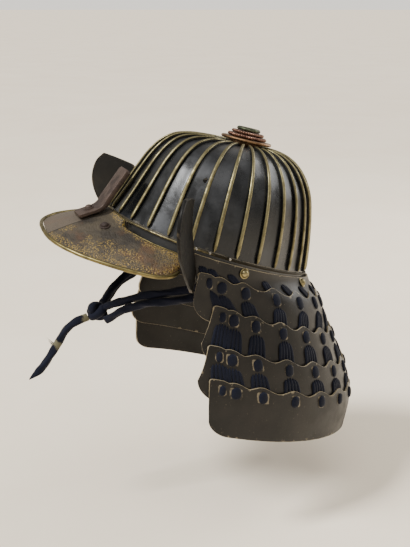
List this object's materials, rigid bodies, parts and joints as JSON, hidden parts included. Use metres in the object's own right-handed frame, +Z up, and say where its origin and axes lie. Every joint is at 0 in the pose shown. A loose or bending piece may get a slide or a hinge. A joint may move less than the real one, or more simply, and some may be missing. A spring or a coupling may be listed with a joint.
{
  "type": "kabuto samurai helmet",
  "caption": "Ribbed iron plate helmet with a gilt peak, crest holder, turned-back flaps, tiered crown finial, flaring laced neck guard and a knotted cloth chin cord.",
  "frame": {"origin": "inside of the crown, where the helmet rests on the head", "axes": "+Z up with the helmet as it sits on the head, -Y out of the brow over the peak, +X towards the wearer's left"},
  "size_m": [0.3312, 0.3938, 0.3632],
  "materials": {
    "bowl_iron": "satin",
    "rib_brass": "satin",
    "band_lacquer": "satin",
    "peak_gilt": "matte",
    "russet_iron": "matte",
    "lame_lacquer": "satin",
    "flap_lacquer": "satin",
    "stud_brass": "satin",
    "finial_gilt": "satin",
    "finial_copper": "satin",
    "finial_bronze": "satin",
    "cord_cloth": "matte"
  },
  "bodies": {
    "root": {"base_band": "band_lacquer", "base_band_trim": "rib_brass", "bowl": "bowl_iron", "chin_cord_lower_left": "cord_cloth", "chin_cord_lower_right": "cord_cloth", "chin_cord_upper_left": "cord_cloth", "chin_cord_upper_right": "cord_cloth", "chin_knot": "cord_cloth", "chin_tail": "cord_cloth", "cord_anchor_left": "russet_iron", "cord_anchor_right": "russet_iron", "crest_holder": "russet_iron", "crest_stud": "russet_iron", "finial_base": "finial_gilt", "finial_knob": "finial_bronze", "finial_ring_lower": "finial_copper", "finial_ring_upper": "finial_copper", "neck_lame_1": "lame_lacquer", "neck_lame_2": "lame_lacquer", "neck_lame_3": "lame_lacquer", "neck_lame_4": "lame_lacquer", "neck_lame_5": "lame_lacquer", "neck_stud_front_left": "stud_brass", "neck_stud_front_right": "stud_brass", "neck_stud_rear_left": "stud_brass", "neck_stud_rear_right": "stud_brass", "peak": "peak_gilt", "peak_stud_left": "russet_iron", "peak_stud_right": "russet_iron", "peak_trim": "rib_brass", "rib_01": "rib_brass", "rib_02": "rib_brass", "rib_03": "rib_brass", "rib_04": "rib_brass", "rib_05": "rib_brass", "rib_06": "rib_brass", "rib_07": "rib_brass", "rib_08": "rib_brass", "rib_09": "rib_brass", "rib_10": "rib_brass", "rib_11": "rib_brass", "rib_12": "rib_brass", "rib_13": "rib_brass", "rib_14": "rib_brass", "rib_15": "rib_brass", "rib_16": "rib_brass", "rib_17": "rib_brass", "rib_18": "rib_brass", "rib_19": "rib_brass", "rib_20": "rib_brass", "rib_21": "rib_brass", "rib_22": "rib_brass", "rib_23": "rib_brass", "rib_24": "rib_brass", "rib_25": "rib_brass", "rib_26": "rib_brass", "rib_27": "rib_brass", "rib_28": "rib_brass", "turned_flap_left": "flap_lacquer", "turned_flap_right": "flap_lacquer"}
  },
  "joints": []
}
